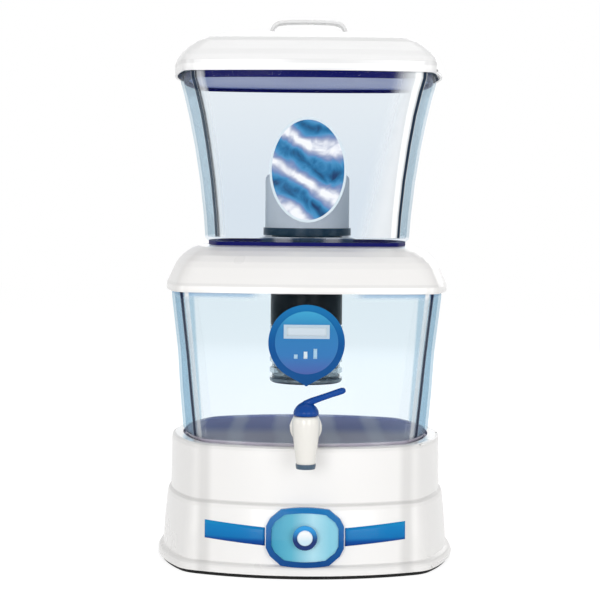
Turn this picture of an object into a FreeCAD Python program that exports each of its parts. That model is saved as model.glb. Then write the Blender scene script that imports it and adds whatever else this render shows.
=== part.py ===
"""Two-chamber gravity water filter with a tap, built as separate pieces.

Millimetres, +Z up, the front faces -Y. The origin is the centre of the base's flat underside.
"""

import FreeCAD, Part
import math
import os

V = FreeCAD.Vector
UP = V(0, 0, 1)

# Every ring of the object is a bowed four-sided outline. Its depth is this share of its width.
DEPTH = 0.96

# How square the outlines are at each height: where their corners lie, as a share of the half width
SQUARENESS = ((0.0, 0.775), (140.0, 0.775), (290.0, 0.85), (480.0, 0.85), (525.0, 0.86), (600.0, 0.86))
CORNER_CUT = 0.05

# Base stand: height and half width of each step
PLATE_TOP = 4.0
PLATE_HALF = 158.5
FLANGE_PROFILE = ((4.0, 161.0), (9.0, 161.0), (12.5, 159.0), (14.5, 155.5))
SKIRT_PROFILE = ((14.5, 155.5), (40.0, 154.0), (70.0, 151.0), (74.0, 149.5), (76.0, 147.4))
UPPER_BASE_PROFILE = ((76.0, 147.4), (129.0, 146.6), (132.5, 145.6), (134.0, 143.0))
BASE_WALL = 3.0
BASE_TOP = 134.0
TRAY_RECESS_FLOOR = 128.5
TRAY_HALF = 134.5
SEAT_Z = 131.0
SCREW_CIRCLE = 112.0
SCREW_COUNT = 4
BOSS_R = 8.0
FOOT_PAD_R = 13.0
FOOT_PAD_CIRCLE = 132.0

# Lower tank: height and half width
LOWER_PROFILE = (
    (131.0, 126.0), (133.0, 130.5), (140.0, 134.6), (180.0, 138.0), (225.0, 140.6),
    (262.0, 144.6), (284.0, 147.0), (298.0, 147.0),
)
LOWER_TOP = 298.0
TANK_WALL = 3.0

# Collar: the lower tank's lid, which carries the upper tank
COLLAR_RIM_Z = 292.5
COLLAR_PROFILE = (
    (292.5, 152.4), (299.0, 152.4), (303.0, 150.6), (310.0, 147.4), (318.0, 143.8),
    (324.0, 140.0), (330.0, 134.0), (335.0, 126.5), (338.6, 118.0), (340.0, 108.0),
)
COLLAR_TOP = 340.0
COLLAR_LEDGE_Z = 301.2
COLLAR_MOUTH_HALF = 148.6
COLLAR_HOLE_R = 50.0

# Upper tank
UPPER_PROFILE = (
    (344.0, 108.5), (347.0, 111.4), (372.0, 113.2), (408.0, 117.2), (445.0, 123.0),
    (476.0, 129.0), (500.0, 134.6), (514.0, 138.6), (532.0, 139.4),
)
UPPER_FLOOR_UNDER = 344.0
UPPER_TOP = 532.0
FLOOR = 4.0

# Upper lid
LID_RIM_Z = 520.0
LID_PROFILE = (
    (520.0, 144.8), (531.0, 144.8), (538.0, 142.6), (545.0, 138.6), (551.0, 133.6),
    (557.0, 126.5), (562.0, 116.5), (565.6, 103.0), (568.0, 84.0), (569.0, 60.0),
)
LID_TOP = 569.0
LID_LEDGE_Z = 532.3
LID_MOUTH_HALF = 142.0
PLUG_HALF = 131.0
PLUG_UNDER = 517.0
SEAL_HALF = 134.9
SEAL_UNDER = 513.5

# Handle on the lid
HANDLE_HALF = 42.5
HANDLE_TOP = 583.6
HANDLE_BAND = 4.6
HANDLE_DEPTH = 26.0

# Tap: its barrel stands this far ahead of the object's axis
TAP_Y = -175.0
SHANK_Z = 155.0
SHANK_R = 10.5
SHANK_END_Y = -100.0
WATERWAY_R = 5.5
BARREL_TOP = 171.0
BARREL_R = 13.0
SPOUT_Z = 120.0
SPOUT_R = 8.8
VALVE_R = 8.0
VALVE_FIT = 0.05
VALVE_UNDER = 147.5
LEVER_TIP = (36.0, 197.0)
LEVER_R = 3.8

# Sediment filter in the upper tank
FILTER_FLANGE_R = 48.0
FILTER_R = 46.0
FILTER_TOP = 417.0
FILTER_SEAT_Z = 348.0
FILTER_FLANGE_TOP = 358.0
STEM_R = 8.0
STEM_UNDER = 312.0

# Cartridge that hangs into the lower tank
CARTRIDGE_R = 40.0
CAP_R = 41.2
CAP_GRIPS = 16
CAP_TOP = 333.0
CAP_UNDER = 296.0
BODY_UNDER = 252.0
CHAMBER_UNDER = 194.0
BOTTOM_CAP_UNDER = 188.0
CHAMBER_RIBS = 5
STONE_R = 8.5
STONE_CIRCLE = 24.5
STONES_A_LAYER = 8
STONE_LAYERS = 3

# Front decoration
MEDALLION_Z = 43.0
MEDALLION_HALF = (40.0, 30.5)
MEDALLION_RIM = 5.5
STRIPE_Z = (38.0, 57.5)
STRIPE_INNER_X = 41.5
STRIPE_OUTER_X = 104.0
BADGE_Z = 242.0
BADGE_R = 39.3
BADGE_TIP_Z = 197.0
BADGE_FACE_R = 32.5
BADGE_BAR = (23.5, 7.2)
LABEL_Z = 419.0
LABEL_HALF = (40.0, 54.0)


def arc(a, middle, b):
    return Part.Arc(a, middle, b).toShape()


def value_at(table, z):
    """The value that a table of heights and values has at a height."""
    for (z0, v0), (z1, v1) in zip(table, table[1:]):
        if z0 <= z <= z1:
            return v0 + (v1 - v0) * (z - z0) / (z1 - z0)
    return table[-1][1] if z > table[-1][0] else table[0][1]


def end_angle(run, rise):
    """The angle at the end of an arc whose half chord is run and whose height is rise."""
    return 2 * math.atan2(rise, run)


def outline(z, half):
    """One closed ring: four bowed panels with a tangent rounded corner between each pair."""
    w = half
    d = half * DEPTH
    near = value_at(SQUARENESS, z) - CORNER_CUT
    far = near + 2 * CORNER_CUT
    a = (near * w, far * d)
    b = (far * w, near * d)
    turn = math.pi / 2 - end_angle(a[0], d - a[1]) - end_angle(b[1], w - b[0])
    chord = V(b[0] - a[0], b[1] - a[1], 0)
    height = chord.Length / 2 * math.tan(max(turn, 0.02) / 4)
    away = V(-chord.y, chord.x, 0).normalize() * height
    m = ((a[0] + b[0]) / 2 + away.x, (a[1] + b[1]) / 2 + away.y)
    edges = []
    for sx, sy, first in ((1, -1, True), (1, 1, False), (-1, 1, True), (-1, -1, False)):
        pa = V(sx * a[0], sy * a[1], z)
        pb = V(sx * b[0], sy * b[1], z)
        pm = V(sx * m[0], sy * m[1], z)
        start, end = (pa, pb) if first else (pb, pa)
        edges.append(arc(start, pm, end))
        if first:
            edges.append(arc(pb, V(sx * w, 0, z), V(pb.x, -pb.y, z)))
        else:
            edges.append(arc(pa, V(0, sy * d, z), V(-pa.x, pa.y, z)))
    return Part.Wire(edges)


def body(profile, grow=0.0):
    """The solid inside a stack of outlines, each `grow` wider than the profile says."""
    wires = [outline(z, half + grow) for z, half in profile]
    return Part.makeLoft(wires, True, True)


def between(profile, low, high):
    """The part of a profile from one height to another."""
    inner = [(z, w) for z, w in profile if low < z < high]
    return [(low, value_at(profile, low))] + inner + [(high, value_at(profile, high))]


def ring_prism(z0, z1, outer, inner):
    """A flat ring of the object's outline, from one half width to another."""
    solid = body(((z0, outer), (z1, outer)))
    hole = body(((z0 - 1, inner), (z1 + 1, inner)))
    return solid.cut(hole)


def cylinder(r, z0, z1, x=0.0, y=0.0):
    return Part.makeCylinder(r, z1 - z0, V(x, y, z0))


def across(r, y0, y1, z, x=0.0):
    """A cylinder along Y."""
    return Part.makeCylinder(r, y1 - y0, V(x, y0, z), V(0, 1, 0))


def on_front(wire, skin, carrier):
    """A plate of the wire's outline that lies on the bowed front of the carrier."""
    prism = Part.Face(wire).extrude(V(0, 160, 0))
    return skin.common(prism).cut(carrier)


def front_point(x, z):
    return V(x, -200, z)


def save(name, shape):
    shape.exportStep("parts/" + name + ".step")
    print(name, round(shape.Volume / 1000, 1), "cm3", "valid" if shape.isValid() else "INVALID")


def base_outer():
    flange = body(FLANGE_PROFILE)
    skirt = body(SKIRT_PROFILE)
    upper = body(UPPER_BASE_PROFILE)
    return flange.fuse(skirt).fuse(upper)


def circle_points(r, count, turn):
    for i in range(count):
        angle = math.radians(turn + 360 / count * i)
        yield r * math.cos(angle), r * math.sin(angle)


def base_shell():
    """Moulded stand, hollow and open below, with a recess on top for the seat tray."""
    wall = -BASE_WALL
    low = body(((3.0, 158.0), (14.5, 155.5 + wall), (74.0, 149.5 + wall)))
    high = body(((74.0, 147.4 + wall), (125.5, 146.6 + wall)))
    recess = body(((TRAY_RECESS_FLOOR, TRAY_HALF), (BASE_TOP + 1, TRAY_HALF)))
    shell = base_outer().cut(low.fuse(high)).cut(recess)
    for x, y in circle_points(SCREW_CIRCLE, SCREW_COUNT, 45):
        boss = cylinder(BOSS_R, PLATE_TOP, 126.0, x, y)
        pilot = cylinder(1.6, PLATE_TOP, 24.0, x, y)
        shell = shell.fuse(boss).cut(pilot)
    return shell


def base_bottom_plate():
    plate = body(((0.0, PLATE_HALF - 1), (1.0, PLATE_HALF), (PLATE_TOP, PLATE_HALF)))
    for x, y in circle_points(SCREW_CIRCLE, SCREW_COUNT, 45):
        plate = plate.cut(cylinder(2.1, -1, 5, x, y)).cut(cylinder(4.2, -1, 2.2, x, y))
    for x, y in circle_points(FOOT_PAD_CIRCLE, SCREW_COUNT, 45):
        plate = plate.cut(cylinder(FOOT_PAD_R, -1, 2.5, x, y))
    return plate


def base_foot_pads():
    pads = [cylinder(FOOT_PAD_R, 0, 2.5, x, y) for x, y in circle_points(FOOT_PAD_CIRCLE, SCREW_COUNT, 45)]
    return Part.makeCompound(pads)


def base_screws():
    screws = []
    for x, y in circle_points(SCREW_CIRCLE, SCREW_COUNT, 45):
        head = cylinder(3.8, 0.4, 2.2, x, y)
        shank = cylinder(1.6, 2.2, 18.0, x, y)
        screws.append(head.fuse(shank))
    return Part.makeCompound(screws)


def seat_tray():
    """Dished tray in the base's top, with a raised bead that the lower tank stands on."""
    tray = body(((TRAY_RECESS_FLOOR, TRAY_HALF - 0.4), (SEAT_Z, TRAY_HALF - 0.4)))
    dish = body(((SEAT_Z - 1.0, 112.0), (SEAT_Z + 1, 114.0)))
    return tray.cut(dish)


def medallion_wire(grow, y=-200):
    """A flattened octagon with bowed top and bottom and stepped shoulders."""
    w, h = MEDALLION_HALF[0] + grow, MEDALLION_HALF[1] + grow
    shoulder = w * 0.62
    waist = h * 0.36
    neck = w * 0.90
    z = MEDALLION_Z
    corners = [(shoulder, h * 0.93), (neck, h * 0.62), (w, waist), (w, -waist), (neck, -h * 0.62)]
    corners += [(shoulder, -h * 0.93)]
    right = [V(x, y, z + dz) for x, dz in corners]
    left = [V(-p.x, y, p.z) for p in reversed(right)]
    edges = [Part.LineSegment(p, q).toShape() for p, q in zip(right, right[1:])]
    edges.append(arc(right[-1], V(0, y, z - h), left[0]))
    edges += [Part.LineSegment(p, q).toShape() for p, q in zip(left, left[1:])]
    edges.append(arc(left[-1], V(0, y, z + h), right[0]))
    return Part.Wire(edges)


def base_skin(grow):
    """The base's lower front, grown outwards."""
    return body(((10.0, 155.8), (40.0, 154.0), (70.0, 151.0), (76.0, 150.6)), grow)


def medallion_frame(base):
    plate = on_front(medallion_wire(0), base_skin(5.0), base)
    opening = Part.Face(medallion_wire(-MEDALLION_RIM)).extrude(V(0, 160, 0))
    return plate.cut(opening)


def medallion_face(base):
    return on_front(medallion_wire(-MEDALLION_RIM - 0.1), base_skin(3.4), base)


def medallion_button(face_front):
    """A plain round boss with a groove around its domed middle, in the centre of the medallion."""
    z = MEDALLION_Z + 1
    disc = across(12.6, face_front - 2.6, face_front, z)
    rim = [e for e in disc.Edges if abs(e.CenterOfMass.y - face_front + 2.6) < 0.01]
    disc = disc.makeChamfer(0.8, rim)
    disc = disc.cut(across(8.6, face_front - 3, face_front - 1.8, z))
    middle = across(7.8, face_front - 2.6, face_front - 1, z)
    top = [e for e in middle.Edges if abs(e.CenterOfMass.y - face_front + 2.6) < 0.01]
    return disc.fuse(middle.makeChamfer(0.6, top))


def stripe(side, base):
    low, high = STRIPE_Z
    x0, x1 = sorted((side * STRIPE_INNER_X, side * STRIPE_OUTER_X))
    points = [front_point(x0, low), front_point(x1, low), front_point(x1, high), front_point(x0, high)]
    wire = Part.makePolygon(points + points[:1])
    frame = Part.Face(medallion_wire(0.2)).extrude(V(0, 160, 0))
    return on_front(wire, base_skin(0.9), base).cut(frame)


def tank(profile, floor, low, high):
    """A clear bowed tub, open at the top."""
    solid = body(profile)
    inner = [(z, w) for z, w in between(profile, low + floor, high)]
    inner.append((high + 2, profile[-1][1]))
    return solid.cut(body(inner, -TANK_WALL))


def lower_tank():
    shell = tank(LOWER_PROFILE, TANK_WALL + 0.5, SEAT_Z, LOWER_TOP)
    return shell.cut(across(SHANK_R + 0.6, -200, 0, SHANK_Z))


def upper_tank():
    shell = tank(UPPER_PROFILE, FLOOR, UPPER_FLOOR_UNDER, UPPER_TOP)
    return shell.cut(cylinder(STEM_R + 0.4, 330, 360))


def tap_body():
    """Barrel, spout, shank and flange as one moulding, with its waterway and valve seat."""
    barrel = Part.makeCone(SPOUT_R + 1.0, BARREL_R, 26.0, V(0, TAP_Y, 139.0))
    cap = cylinder(BARREL_R, 165.0, BARREL_TOP, 0, TAP_Y)
    spout = Part.makeCone(SPOUT_R, SPOUT_R + 1.0, 139.0 - SPOUT_Z - 3, V(0, TAP_Y, SPOUT_Z + 3))
    shank = across(SHANK_R - 1.5, TAP_Y, -128.0, SHANK_Z)
    thread = across(SHANK_R, -140.0, SHANK_END_Y, SHANK_Z)
    flange = across(17.0, -139.5, -135.5, SHANK_Z)
    solid = barrel.fuse([cap, spout, shank, thread, flange])
    solid = solid.cut(cylinder(VALVE_R + VALVE_FIT, VALVE_UNDER - 0.3, BARREL_TOP + 1, 0, TAP_Y))
    solid = solid.cut(cylinder(WATERWAY_R, SPOUT_Z, VALVE_UNDER, 0, TAP_Y))
    return solid.cut(across(WATERWAY_R, TAP_Y, SHANK_END_Y + 1, SHANK_Z))


def tap_outlet_ring():
    ring = Part.makeCone(9.6, 10.2, 3.0, V(0, TAP_Y, SPOUT_Z - 2))
    ring = ring.fuse(cylinder(10.2, SPOUT_Z + 1, SPOUT_Z + 3, 0, TAP_Y))
    return ring.cut(cylinder(WATERWAY_R, SPOUT_Z - 3, SPOUT_Z + 4, 0, TAP_Y))


def tap_washer(y0, y1, shell):
    ring = across(16.0, y0, y1, SHANK_Z).cut(across(SHANK_R + 0.1, -200, 0, SHANK_Z))
    return max(ring.cut(shell).Solids, key=lambda s: s.Volume)


def tap_back_nut():
    points = []
    for i in range(7):
        angle = math.radians(60 * i)
        points.append(V(17.0 * math.cos(angle), -124.6, SHANK_Z + 17.0 * math.sin(angle)))
    nut = Part.Face(Part.makePolygon(points)).extrude(V(0, 7.5, 0))
    return nut.cut(across(SHANK_R, -200, 0, SHANK_Z))


def tap_lever():
    """Conical hub with a rounded arm that rises to one side."""
    hub = Part.makeCone(11.2, 4.6, 13.0, V(0, TAP_Y, BARREL_TOP + 0.3))
    x, z = LEVER_TIP
    root = V(0, TAP_Y, 184.6)
    arm_way = V(x, TAP_Y, z) - root
    arm = Part.makeCylinder(LEVER_R, arm_way.Length, root, arm_way)
    tip = Part.makeSphere(LEVER_R, V(x, TAP_Y, z))
    crown = Part.makeSphere(4.6, root)
    neck = cylinder(VALVE_R - 1.0, BARREL_TOP - 1.2, BARREL_TOP + 1, 0, TAP_Y)
    return hub.fuse([arm, tip, crown, neck])


def tap_valve_plug():
    """Turning plug with an L-shaped waterway, closed at rest."""
    plug = cylinder(VALVE_R, VALVE_UNDER, BARREL_TOP - 1.2, 0, TAP_Y)
    port = Part.makeCylinder(4.6, 12.0, V(0, TAP_Y, SHANK_Z), V(-1, 0, 0))
    return plug.cut(cylinder(4.6, VALVE_UNDER - 1, SHANK_Z, 0, TAP_Y)).cut(port)


def collar_lid():
    """Domed lid of the lower tank, with a ledge for its rim and a hole for the cartridge."""
    solid = body(COLLAR_PROFILE)
    mouth = ((COLLAR_RIM_Z - 1, COLLAR_MOUTH_HALF), (COLLAR_LEDGE_Z, COLLAR_MOUTH_HALF))
    solid = solid.cut(body(mouth))
    cavity = ((298.0, 139.0), (318.0, 138.0), (326.0, 130.0), (334.0, 118.0), (337.0, 108.0))
    solid = solid.cut(body(cavity))
    return solid.cut(cylinder(COLLAR_HOLE_R, 300, 345))


def collar_seal():
    return ring_prism(LOWER_TOP, COLLAR_LEDGE_Z - 0.2, 146.6, 140.5)


def upper_tank_gasket():
    return ring_prism(COLLAR_TOP + 0.1, UPPER_FLOOR_UNDER, 107.5, 99.0)


def upper_lid():
    """Domed lid with a skirt over the tank's rim and a ledge that rests on it."""
    solid = body(LID_PROFILE)
    mouth = ((LID_RIM_Z - 1, LID_MOUTH_HALF), (LID_LEDGE_Z, LID_MOUTH_HALF))
    solid = solid.cut(body(mouth))
    cavity = ((530.0, PLUG_HALF), (546.0, 128.0), (556.0, 118.0), (562.0, 104.0), (566.0, 60.0))
    return solid.cut(body(cavity))


def upper_lid_plug():
    """Shallow blue tub that hangs from the lid into the tank's mouth."""
    solid = body(((PLUG_UNDER, PLUG_HALF - 0.3), (538.0, PLUG_HALF - 1.6)))
    hollow = body(((PLUG_UNDER + 2, PLUG_HALF - 3), (540.0, PLUG_HALF - 4)))
    return solid.cut(hollow)


def upper_lid_seal():
    return ring_prism(SEAL_UNDER, 521.0, SEAL_HALF, PLUG_HALF - 0.2)


def handle_path(inset, y):
    """Outline of the handle's arch in the XZ plane, drawn in by inset."""
    w = HANDLE_HALF - inset
    top = HANDLE_TOP - inset
    foot = LID_TOP - 1.5
    shoulder = 9.0 - inset * 0.6
    lean = 1.6
    points = [
        V(-w, y, foot), V(-w + lean, y, top - shoulder),
        V(-w + lean + shoulder, y, top), V(w - lean - shoulder, y, top),
        V(w - lean, y, top - shoulder), V(w, y, foot),
    ]
    k = shoulder * 0.29
    left = arc(points[1], V(points[1].x + k, y, top - k), points[2])
    right = arc(points[3], V(points[4].x - k, y, top - k), points[4])
    lines = [Part.LineSegment(points[i], points[i + 1]).toShape() for i in (0, 2, 4)]
    closing = Part.LineSegment(points[5], points[0]).toShape()
    return Part.Wire([lines[0], left, lines[1], right, lines[2], closing])


def upper_lid_handle(lid):
    y0 = -HANDLE_DEPTH / 2
    outer = Part.Face(handle_path(0, y0)).extrude(V(0, HANDLE_DEPTH, 0))
    inner = Part.Face(handle_path(HANDLE_BAND, y0 - 1)).extrude(V(0, HANDLE_DEPTH + 2, 0))
    arch = outer.cut(inner)
    rim = [e for e in arch.Edges if abs(abs(e.CenterOfMass.y) - HANDLE_DEPTH / 2) < 0.01]
    rim = [e for e in rim if e.BoundBox.ZMax > LID_TOP + 3]
    return arch.makeChamfer(1.1, rim).cut(lid)


def filter_flange():
    flange = cylinder(FILTER_FLANGE_R, FILTER_SEAT_Z + 2, FILTER_FLANGE_TOP)
    foot = cylinder(FILTER_FLANGE_R - 9, FILTER_SEAT_Z, FILTER_SEAT_Z + 2)
    return flange.fuse(foot).cut(cylinder(STEM_R, 340, 365))


def filter_candle():
    block = cylinder(FILTER_R, FILTER_FLANGE_TOP, FILTER_TOP)
    top = [e for e in block.Edges if abs(e.CenterOfMass.z - FILTER_TOP) < 0.01]
    block = block.makeFillet(7.0, top)
    return block.cut(cylinder(STEM_R, 350, 370))


def filter_stem():
    stem = cylinder(STEM_R, STEM_UNDER, 370.0)
    return stem.cut(cylinder(4.0, STEM_UNDER - 1, 371.0))


def hexagon(across_corners, z):
    points = []
    for i in range(7):
        angle = math.radians(60 * i)
        points.append(V(across_corners * math.cos(angle), across_corners * math.sin(angle), z))
    return Part.Face(Part.makePolygon(points))


def stem_washer():
    return cylinder(17.0, 341.6, UPPER_FLOOR_UNDER).cut(cylinder(STEM_R, 330, 350))


def stem_nut():
    return hexagon(15.0, 334.0).extrude(V(0, 0, 7.6)).cut(cylinder(STEM_R, 320, 350))


def cartridge_cap():
    cap = cylinder(CAP_R, CAP_UNDER, CAP_TOP)
    top = [e for e in cap.Edges if abs(e.CenterOfMass.z - CAP_TOP) < 0.01]
    cap = cap.makeFillet(5.0, top)
    cap = cap.cut(cylinder(CARTRIDGE_R - 3, CAP_UNDER - 1, CAP_TOP - 6))
    for x, y in circle_points(CAP_R + 0.6, CAP_GRIPS, 0):
        cap = cap.cut(cylinder(2.0, CAP_UNDER - 1, CAP_UNDER + 24, x, y))
    return cap.cut(cylinder(STEM_R, 290, 345))


def cartridge_body():
    tube = cylinder(CARTRIDGE_R - 0.6, BODY_UNDER, CAP_UNDER)
    return tube.cut(cylinder(CARTRIDGE_R - 4, BODY_UNDER + 3, CAP_UNDER + 1))


def cartridge_chamber():
    """Clear ribbed tub for the mineral stones."""
    height = BODY_UNDER - CHAMBER_UNDER
    pitch = height / CHAMBER_RIBS
    outer = []
    for i in range(CHAMBER_RIBS):
        z = CHAMBER_UNDER + pitch * i
        outer.append((CARTRIDGE_R - 2.6, z))
        outer.append((CARTRIDGE_R - 2.6, z + pitch * 0.35))
        outer.append((CARTRIDGE_R, z + pitch * 0.5))
        outer.append((CARTRIDGE_R, z + pitch * 0.85))
    outer.append((CARTRIDGE_R - 2.6, BODY_UNDER))
    points = [V(0, 0, CHAMBER_UNDER)] + [V(r, 0, z) for r, z in outer] + [V(0, 0, BODY_UNDER)]
    solid = Part.Face(Part.makePolygon(points + points[:1])).revolve(V(0, 0, 0), UP, 360)
    solid = Part.Solid(solid) if solid.ShapeType == "Shell" else solid
    return solid.cut(cylinder(CARTRIDGE_R - 4.6, CHAMBER_UNDER + 2, BODY_UNDER + 1))


def pebble(x, y, z, turn):
    """A small faceted stone: three stacked hexagons of different sizes."""
    rings = []
    for level, share in ((-0.8, 0.5), (-0.1, 1.0), (0.75, 0.6)):
        points = []
        for i in range(7):
            angle = math.radians(60 * i + turn)
            r = STONE_R * share
            points.append(V(x + r * math.cos(angle), y + r * math.sin(angle), z + STONE_R * level))
        rings.append(Part.makePolygon(points))
    return Part.makeLoft(rings, True, True)


def mineral_stones():
    """Three layers of stones around the chamber's wall."""
    stones = []
    for layer in range(STONE_LAYERS):
        z = CHAMBER_UNDER + 2.2 + STONE_R + layer * (STONE_R * 1.6 + 0.4)
        for x, y in circle_points(STONE_CIRCLE, STONES_A_LAYER, 17 * layer):
            stones.append(pebble(x, y, z, 23 * len(stones)))
    return Part.makeCompound(stones)


def cartridge_bottom():
    disc = cylinder(CARTRIDGE_R, BOTTOM_CAP_UNDER, CHAMBER_UNDER)
    low = [e for e in disc.Edges if abs(e.CenterOfMass.z - BOTTOM_CAP_UNDER) < 0.01]
    disc = disc.makeFillet(4.0, low)
    for x, y in circle_points(26.0, 8, 0):
        disc = disc.cut(cylinder(2.5, BOTTOM_CAP_UNDER - 1, CHAMBER_UNDER + 1, x, y))
    return disc


def badge_wire():
    """A disc whose lower edge runs out to a point, as a drop does."""
    reach = BADGE_Z - BADGE_TIP_Z
    angle = math.acos(BADGE_R / reach) * 0.92
    x = BADGE_R * math.sin(angle)
    z = BADGE_Z - BADGE_R * math.cos(angle)
    right, left = front_point(x, z), front_point(-x, z)
    tip_right = front_point(2.0, BADGE_TIP_Z + 1.2)
    tip_left = front_point(-2.0, BADGE_TIP_Z + 1.2)
    edges = [
        arc(left, front_point(0, BADGE_Z + BADGE_R), right),
        Part.LineSegment(right, tip_right).toShape(),
        arc(tip_right, front_point(0, BADGE_TIP_Z), tip_left),
        Part.LineSegment(tip_left, left).toShape(),
    ]
    return Part.Wire(edges)


def tank_skin(profile, low, high, grow):
    return body(between(profile, low, high), grow)


def badge_plate():
    full = tank_skin(LOWER_PROFILE, 190, 290, 0)
    return on_front(badge_wire(), tank_skin(LOWER_PROFILE, 190, 290, 1.0), full)


def badge_face():
    circle = Part.Wire(Part.makeCircle(BADGE_FACE_R, front_point(0, BADGE_Z), V(0, 1, 0)))
    below = tank_skin(LOWER_PROFILE, 190, 290, 1.0)
    return on_front(circle, tank_skin(LOWER_PROFILE, 190, 290, 1.6), below)


def badge_bar():
    w, h = BADGE_BAR
    z = BADGE_Z + 11.5
    points = [front_point(x, z + dz) for x, dz in ((-w, -h), (w, -h), (w, h), (-w, h))]
    wire = Part.makePolygon(points + points[:1])
    below = tank_skin(LOWER_PROFILE, 190, 290, 1.6)
    return on_front(wire, tank_skin(LOWER_PROFILE, 190, 290, 2.1), below)


def oval_wire(half_x, half_z):
    curve = Part.Ellipse(V(0, -200, LABEL_Z), half_z, half_x)
    edge = curve.toShape()
    edge.rotate(V(0, -200, LABEL_Z), V(0, 0, 1), 90)
    edge.rotate(V(0, -200, LABEL_Z), V(1, 0, 0), 90)
    return Part.Wire(edge)


def upper_label_rim():
    below = tank_skin(UPPER_PROFILE, 350, 490, 0)
    plate = on_front(oval_wire(*LABEL_HALF), tank_skin(UPPER_PROFILE, 350, 490, 1.0), below)
    hole = Part.Face(oval_wire(LABEL_HALF[0] - 2.4, LABEL_HALF[1] - 2.4)).extrude(V(0, 160, 0))
    return plate.cut(hole)


def upper_label_face():
    below = tank_skin(UPPER_PROFILE, 350, 490, 0)
    wire = oval_wire(LABEL_HALF[0] - 2.5, LABEL_HALF[1] - 2.5)
    return on_front(wire, tank_skin(UPPER_PROFILE, 350, 490, 0.6), below)


def main():
    os.makedirs("parts", exist_ok=True)
    base = base_outer()
    save("base_shell", base_shell())
    save("base_bottom_plate", base_bottom_plate())
    save("base_foot_pads", base_foot_pads())
    save("base_screws", base_screws())
    save("seat_tray", seat_tray())
    save("medallion_frame", medallion_frame(base))
    face = medallion_face(base)
    save("medallion_face", face)
    save("medallion_button", medallion_button(face.BoundBox.YMin))
    save("stripe_left", stripe(-1, base))
    save("stripe_right", stripe(1, base))

    clear_tank = lower_tank()
    save("lower_tank", clear_tank)
    save("badge_plate", badge_plate())
    save("badge_face", badge_face())
    save("badge_bar", badge_bar())
    save("tap_body", tap_body())
    save("tap_outlet_ring", tap_outlet_ring())
    save("tap_outer_washer", tap_washer(-135.5, -130.0, clear_tank))
    save("tap_inner_washer", tap_washer(-129.0, -124.6, clear_tank))
    save("tap_back_nut", tap_back_nut())
    save("tap_lever", tap_lever())
    save("tap_valve_plug", tap_valve_plug())

    save("collar_lid", collar_lid())
    save("collar_seal", collar_seal())

    save("upper_tank", upper_tank())
    save("upper_tank_gasket", upper_tank_gasket())
    save("upper_label_rim", upper_label_rim())
    save("upper_label_face", upper_label_face())
    save("filter_flange", filter_flange())
    save("filter_candle", filter_candle())
    save("filter_stem", filter_stem())
    save("stem_washer", stem_washer())
    save("stem_nut", stem_nut())
    save("cartridge_cap", cartridge_cap())
    save("cartridge_body", cartridge_body())
    save("cartridge_chamber", cartridge_chamber())
    save("mineral_stones", mineral_stones())
    save("cartridge_bottom", cartridge_bottom())

    lid = upper_lid()
    save("upper_lid", lid)
    save("upper_lid_plug", upper_lid_plug())
    save("upper_lid_seal", upper_lid_seal())
    save("upper_lid_handle", upper_lid_handle(lid))


main()
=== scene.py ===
"""Looks of the two-chamber gravity water filter: finishes, small details, camera and light.

The CAD nodes keep their places and get materials; a few are replaced by softer shapes that ride on the same body.
Metres, +Z up, the front faces -Y, except for names that end in _MM and the outlines listed as millimetres.
"""

import math
import random

import bmesh
import bpy
from mathutils import Matrix, Vector
from mathutils.bvhtree import BVHTree

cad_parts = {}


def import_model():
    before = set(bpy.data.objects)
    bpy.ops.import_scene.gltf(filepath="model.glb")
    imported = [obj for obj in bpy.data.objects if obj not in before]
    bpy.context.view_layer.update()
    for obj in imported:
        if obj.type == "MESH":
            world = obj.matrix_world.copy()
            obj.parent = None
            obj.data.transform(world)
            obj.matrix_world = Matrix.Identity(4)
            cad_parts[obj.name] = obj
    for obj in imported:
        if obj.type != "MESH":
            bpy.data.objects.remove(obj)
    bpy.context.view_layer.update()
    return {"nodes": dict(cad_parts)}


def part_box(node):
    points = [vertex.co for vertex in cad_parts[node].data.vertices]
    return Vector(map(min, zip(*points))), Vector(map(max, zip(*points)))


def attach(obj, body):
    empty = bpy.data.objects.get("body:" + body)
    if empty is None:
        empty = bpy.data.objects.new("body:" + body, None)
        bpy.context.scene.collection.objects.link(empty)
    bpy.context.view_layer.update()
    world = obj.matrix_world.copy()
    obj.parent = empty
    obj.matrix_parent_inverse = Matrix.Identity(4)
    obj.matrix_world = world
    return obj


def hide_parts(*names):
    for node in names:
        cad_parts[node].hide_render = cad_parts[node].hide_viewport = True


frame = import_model()
nodes = frame["nodes"]

MM = 0.001
DEPTH = 0.96  # the outlines' depth as a share of their width

# The photograph's view, in pixels of its 600 x 600 frame
IMAGE = 600
FOCAL_PX = 1750
HORIZON_Y = 204
AXIS_X = 306.5
LEAN_DEG = 0.5
CAMERA_DISTANCE = 1.925
CAMERA_HEIGHT = 0.384
CAMERA_SEES_TO = 50
SENSOR = 36.0

# Light: name, place, size, power
LAMPS = (
    ("key", (-0.8, -2.7, 0.55), 1.0, 22),
    ("fill", (1.2, -2.6, 0.45), 1.2, 19),
    ("left", (-2.2, -0.9, 0.25), 1.0, 6),
    ("right", (2.2, -0.9, 0.25), 1.0, 7),
    ("top", (0.1, 0.4, 2.4), 1.4, 8),
    ("back", (0.4, 2.4, 1.2), 1.6, 8),
)
LAMP_TARGET = (0, 0, 0.3)
SKY_LIGHTS = 0.44
SKY_SEEN = 1.0
FLOOR_HALF = 6.0
FLOOR_PALE = (0.92, 0.92, 0.92)
FLOOR_GLOW = 1.36
FLOOR_GLOW_SHARE = 0.62

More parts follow.
